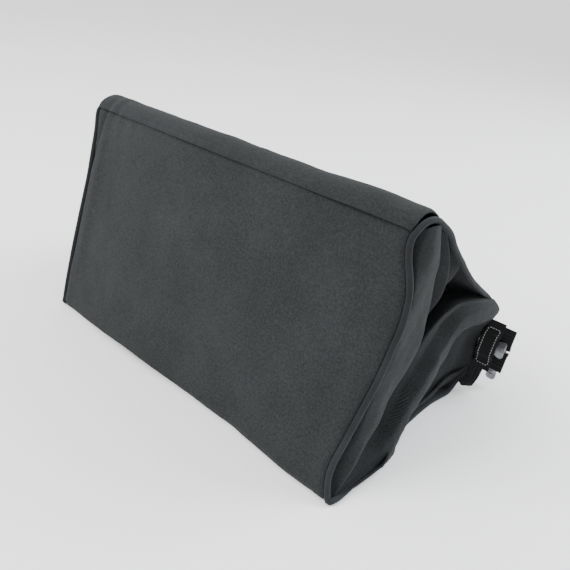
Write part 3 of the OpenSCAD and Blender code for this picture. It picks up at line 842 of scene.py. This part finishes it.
TAIL_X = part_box("zip_tape_upper")[1].x / MM
INNER_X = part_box("inner_zip_tape_upper")[1].x / MM
tape_grids = {
    "upper": build_tape("zipper_tape_upper", ZIP_D, -1, 21.3, TAIL_X, "zip_tape_upper"),
    "lower": build_tape("zipper_tape_lower", ZIP_D, 1, 21.3, TAIL_X, "zip_tape_lower"),
}
build_tape("inner_tape_upper", INNER_D, -1, 13.8, INNER_X, "inner_zip_tape_upper")
build_tape("inner_tape_lower", INNER_D, 1, 13.8, INNER_X, "inner_zip_tape_lower")
build_teeth("teeth_upper", ZIP_D, 1, TAIL_X - 3, 1, "zip_teeth_upper")
build_teeth("teeth_lower", ZIP_D, 0, TAIL_X - 3, 1, "zip_teeth_lower")
build_teeth("inner_teeth_upper", INNER_D, 1, INNER_X - 3, 0.7, "inner_zip_teeth_upper")
build_teeth("inner_teeth_lower", INNER_D, 0, INNER_X - 3, 0.7, "inner_zip_teeth_lower")
refined("stop_pieces", "zip_stops", "bag", 0.25)
refined("slider_body", "zip_slider", "slider")
refined("slider_loop", "zip_bail", "slider", 0.25)
refined("pull_tab", "zip_pull", "pull")
refined("inner_slider_body", "inner_zip_slider", "inner_slider", 0.25)
refined("inner_slider_loop", "inner_zip_bail", "inner_slider", 0.2)
refined("inner_pull_tab", "inner_zip_pull", "inner_pull", 0.25)


def build_ridges():
    """Plain raised grips across the pull's face."""
    low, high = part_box("zip_pull")
    x, y = (low.x + high.x) / 2, (low.y + high.y) / 2
    radius = 0.55 * np.sqrt(np.clip(1 - np.linspace(-1, 1, 8) ** 4, 0.05, 1))
    for k in range(8):
        z = low.z + (6 + 3.4 * (k // 2)) * MM
        place = y + (0.95 if k % 2 else -0.95) * MM
        path = [(a, place, z) for a in np.linspace(x - 2.7 * MM, x + 2.7 * MM, 8)]
        tube(f"pull_ridge_{k}", path, radius, METAL, "pull", 10, (0, 0, 1))


build_ridges()


# ---------------------------------------------------------------- the webbing on the zipper's ends
TAB_X = (178, 195.5)


def build_tab(tag, side):
    """A webbing band over the zipper's tail, arched clear of the slider, with a box stitch."""
    line = catmull([(25, -2.4), (17, -2.6), (12.5, -4.2), (9.5, -6.7), (0, -7.4), (-9.5, -6.7),
                    (-12.5, -4.2), (-17, -2.6), (-24, -2.4)], 230)
    far = np.r_[0, np.cumsum(np.linalg.norm(np.diff(line, axis=0), axis=1))]
    rib = 0.16 * np.sin(far * 2 * math.pi / 1.3)
    xs = np.linspace(*TAB_X, 22)
    roll = 0.5 * np.exp(-(np.minimum(xs - TAB_X[0], TAB_X[1] - xs) / 0.7) ** 2)
    grid = np.array([[on_tape(side * x, v, out - r + e) for x, e in zip(xs, roll)]
                     for (v, out), r in zip(line, rib)])
    band = sheet(f"webbing_{tag}", grid, 1.6, WEBBING, "bag", flip=side < 0)
    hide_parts(f"end_tab_{tag}")
    inset, start, stop = 3.0, 24, 196
    lines = []
    for x in (TAB_X[0] + inset, TAB_X[1] - inset):
        lines.append([on_tape(side * x, v, out - 0.15) for v, out in line[start:stop]])
    for k in (start, stop - 1):
        lines.append([on_tape(side * x, line[k][0], line[k][1] - 0.15)
                      for x in np.linspace(TAB_X[0] + inset, TAB_X[1] - inset, 12)])
    stitches(f"box_stitch_{tag}", [(p, [-OUT_D] * len(p)) for p in lines], LIGHT_THREAD, "bag",
             pitch=2.7, length=2.0, radius=0.42)
    # the ribbed end of the webbing, folded round the tape's lower edge
    fold = catmull([(86, 206.4), (78, 206.6), (70, 205), (64.5, 200), (62.5, 193.5)], 90)
    far = np.r_[0, np.cumsum(np.linalg.norm(np.diff(fold, axis=0), axis=1))]
    share = far / far[-1]
    low = 171 + 5 * share ** 2 + 3 * smooth((share - 0.85) / 0.15)
    high = 190 - 2 * share ** 2 - 5 * smooth((share - 0.8) / 0.2)
    grid = np.zeros((len(fold), 30, 3))
    for k, (u, d) in enumerate(fold):
        for j, a in enumerate(np.linspace(0, 1, 30)):
            lift = 0.22 * math.sin(a * 34) + 1.6 * math.sin(math.pi * a) * share[k]
            grid[k, j] = slant(side * (low[k] + (high[k] - low[k]) * a), u, d - lift)
    flap = sheet(f"webbing_fold_{tag}", grid, 1.6, CANVAS, "bag", flip=side > 0)
    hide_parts(f"end_flap_{tag}")


for tag, side in SIDES:
    build_tab(tag, side)


# ---------------------------------------------------------------- the sleeves
def sleeve_grid(side, rows=96, around=132):
    """A sleeve lying down the slope, gathered into its elastic cuff, as rings of points: x from the
    sleeve's middle, and q down the slope with n above it."""
    top = catmull([(ROOT_Q, 1.4), (37, 13), (62, 24), (112, 27.2), (148, 25.5), (CUFF_Q, 26)], rows)
    edge = catmull([(55, 1.4), (61, 6.9), (84, 13), (120, 14), (148, 13.6), (CUFF_Q, 13.6)], rows)
    low = catmull([(82, 1.5), (88, 1.8), (102, 2.0), (134, 2.0), (152, 2.0), (CUFF_Q, 2.0)], rows)
    t = np.linspace(0, 1, rows)
    half = table(t, ((0, 49.5), (0.3, 49.5), (0.6, 46), (0.82, 39), (0.9, 37), (1, 38)))
    turn = np.linspace(0, 2 * math.pi, around, endpoint=False)
    c, s = np.cos(turn), np.sin(turn)
    x = half[:, None] * np.sign(c) * np.abs(c) ** 0.85
    over, under = np.maximum(s, 0)[None, :, None], np.maximum(-s, 0)[None, :, None]
    qn = edge[:, None] + (top - edge)[:, None] * over + (low - edge)[:, None] * under
    pleat = smooth((t - 0.72) / 0.14)[:, None]
    edge_ease = (1 - 0.35 * smooth((t - 0.93) / 0.07))[:, None]
    deep = 1.1 * np.cos(24 * turn + 0.8 * np.sin(3 * turn))[None] * pleat * edge_ease
    soft = np.zeros(x.shape)
    for i in range(rows):
        for j in range(around):
            place = Vector((x[i, j] / 30 + side * 4, qn[i, j, 0] / 30, qn[i, j, 1] / 20))
            creases = Vector((x[i, j] / 13 - side * 7, qn[i, j, 0] / 42, 3.0))
            soft[i, j] = 3.2 * noise.noise(place) + 2.0 * noise.noise(creases)
    away = smooth(t * 5)[:, None] * (0.25 + 0.75 * smooth((s + 0.35) / 0.6))[None]
    out = deep * (0.3 + 0.7 * smooth((s + 0.5) / 0.6))[None] + soft * away * (1 - 0.6 * pleat)
    x = x + out * c[None] * 0.8
    qn[:, :, 1] = np.maximum(qn[:, :, 1] + out * np.maximum(s, -0.2)[None], 1.2)
    return x, qn


def sleeve_points(side, x, q, n):
    flat = zip((side * SLEEVE_X + x).ravel(), q.ravel(), n.ravel())
    return np.array([on_slope(*p) for p in flat]).reshape(*x.shape, 3)


def build_sleeve(tag, side):
    x, qn = sleeve_grid(side)
    grid = sleeve_points(side, x, qn[:, :, 0], qn[:, :, 1])
    cloth_tube = sheet(f"sleeve_cloth_{tag}", grid, 1.2, CANVAS, None, closed=True)
    arm = f"arm_sleeve_{tag}"
    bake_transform(cloth_tube)
    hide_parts(f"sleeve_{tag}")
    # the elastic and its facing inside the cuff, gathered with it
    half_wide, half_high, middle = 38, 13, 13.5     # of the cuff
    for name, material, slot, first, last, inset, replaced in (
        ("cuff_band", ELASTIC, "elastic", 83, 95, 1.6, f"cuff_elastic_{tag}"),
        ("cuff_lining", LINING, "lining_cloth", 80, 96, 3.0, f"cuff_facing_{tag}"),
    ):
        rx, rn = x[first:last], qn[first:last, :, 1]
        size = np.sqrt((rx / half_wide) ** 2 + ((rn - middle) / half_high) ** 2)
        rx = rx * (1 - inset / half_wide / np.maximum(size, 0.6))
        rn = middle + (rn - middle) * (1 - inset / half_high / np.maximum(size, 0.6))
        ring = sheet(f"{name}_{tag}", sleeve_points(side, rx, qn[first:last, :, 0], rn), 0.8, material,
                     arm, closed=True)
        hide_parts(replaced)
    # the seam round the sleeve's root and the stitching at the cuff
    round_turn = np.linspace(0, 2 * math.pi, 140)
    seam = [on_slope(side * SLEEVE_X + 50.3 * np.sign(math.cos(a)) * abs(math.cos(a)) ** 0.85,
                     55 - 27.6 * math.sin(a), 1.5) for a in round_turn]
    tube(f"sleeve_seam_{tag}", seam, 1.1, CANVAS, "bag", 10, (0, 0.65, 0.75))
    for k, row in enumerate((79, 93)):
        ring = np.vstack([grid[row], grid[row][:1]])
        centre = ring[:-1].mean(0)
        outward = ring - centre
        outward /= np.linalg.norm(outward, axis=1)[:, None]
        stitches(f"cuff_stitch_{k}_{tag}", [(ring + outward * 0.15 * MM, outward)], THREAD, arm,
                 pitch=3.4, length=2.4, radius=0.3)


def cut_armholes():
    """Opens the slope's cover under the sleeves."""
    cover = bpy.data.objects["slope_cover"]
    turns = np.linspace(0, 2 * math.pi, 96, endpoint=False)
    for tag, side in SIDES:
        rim = [[on_slope(side * SLEEVE_X + 47.5 * math.cos(a), 55 - 24.5 * math.sin(a), n)
                for a in turns] for n in (-9, 9)]
        mesh = bpy.data.meshes.new(f"hole_{tag}")
        n = len(turns)
        walls = [(a, (a + 1) % n, n + (a + 1) % n, n + a) for a in range(n)]
        mesh.from_pydata([tuple(v) for v in rim[0] + rim[1]], [],
                         walls + [tuple(reversed(range(n))), tuple(range(n, 2 * n))])
        merge(mesh, 1e-8)
        cutter = bpy.data.objects.new(f"hole_{tag}", mesh)
        bpy.context.scene.collection.objects.link(cutter)
        hole = cover.modifiers.new("hole", "BOOLEAN")
        hole.operation, hole.object, hole.solver = "DIFFERENCE", cutter, "EXACT"
        apply_modifiers(cover)
        bpy.data.objects.remove(cutter)


cut_armholes()
for tag, side in SIDES:
    build_sleeve(tag, side)


# ---------------------------------------------------------------- topstitching
def row_line(grid, row, first=6, last=-6, lift=0.25, outward=None):
    """A line of stitches along a panel's row, and which way is out of the cloth there."""
    here = grid[row, first:last]
    if outward is None:
        down = grid[row + 1, first:last] - grid[row - 1, first:last]
        outward = np.cross(down, np.gradient(here, axis=0))
        outward /= np.linalg.norm(outward, axis=1)[:, None]
    else:
        outward = np.broadcast_to(outward, here.shape)
    return here + outward * lift * MM, outward


stitches("slope_topstitch", [row_line(slope_grid, row, outward=OUT_D) for row in (-2, -5)],
         THREAD, "bag", radius=0.3)
stitches("rest_topstitch", [row_line(rest_grid, row, outward=OUT_D) for row in (-2, -4)],
         THREAD, "bag", radius=0.3)
stitches("top_topstitch", [row_line(slope_grid, 2, 8, -8, 0.1)], THREAD, "bag",
         radius=0.26)
tail_rows = []
for grid in tape_grids.values():
    for row in (14, 20, 26):
        line = grid[row][grid[row][:, 0] > 171 * MM]
        tail_rows.append((line - OUT_D * 0.85 * MM, np.broadcast_to(-OUT_D, line.shape)))
stitches("tail_stitch", tail_rows, THREAD, "bag", pitch=2.4, length=1.7, radius=0.28)

# ---------------------------------------------------------------- floor, light and camera
def stage_material():
    material, _, _, bsdf = shader("pale_floor", 0.9)
    bsdf.inputs["Base Color"].default_value = (0.9, 0.9, 0.9, 1)
    return material


floor_mesh = bpy.data.meshes.new("floor")
FLOOR, BELOW = 30, -0.0005       # half its length, and its place just under the bag, in metres
corners = [(FLOOR * x, FLOOR * y, BELOW) for x, y in ((-1, -1), (1, -1), (1, 1), (-1, 1))]
floor_mesh.from_pydata(corners, [], [(0, 1, 2, 3)])
floor = bpy.data.objects.new("floor", floor_mesh)
bpy.context.scene.collection.objects.link(floor)
floor_mesh.materials.append(stage_material())


def soft_light(name, place, target, size, power, colour=(1, 1, 1)):
    data = bpy.data.lights.new(name, "AREA")
    data.size, data.energy, data.color = size, power, colour
    lamp = bpy.data.objects.new(name, data)
    lamp.location = place
    lamp.rotation_euler = (Vector(target) - Vector(place)).to_track_quat("-Z", "Y").to_euler()
    bpy.context.scene.collection.objects.link(lamp)


world = bpy.data.worlds.new("studio")
bpy.context.scene.world = world
world.use_nodes = True
world.node_tree.nodes["Background"].inputs["Color"].default_value = (1, 1, 1, 1)
world.node_tree.nodes["Background"].inputs["Strength"].default_value = 1.55
soft_light("key", (-0.8, -1.4, 1.6), (0, 0, 0.1), 1.2, 60)
soft_light("rim", (1.0, 1.3, 1.3), (0, 0, 0.1), 1.0, 45, (0.9, 0.95, 1.0))

camera_data = bpy.data.cameras.new("camera")
camera_data.lens = 40.03
camera_data.sensor_width = 36
camera = bpy.data.objects.new("camera", camera_data)
CAMERA_PLACE = (0.3537, -0.4060, 0.3521)
right, up, back = (0.7396, 0.6635, 0.1128), (-0.3844, 0.2789, 0.8800), (0.5525, -0.6942, 0.4613)
turned = Matrix((right, up, back)).transposed().to_4x4()
camera.matrix_world = Matrix.Translation(CAMERA_PLACE) @ turned
bpy.context.scene.collection.objects.link(camera)
bpy.context.scene.camera = camera
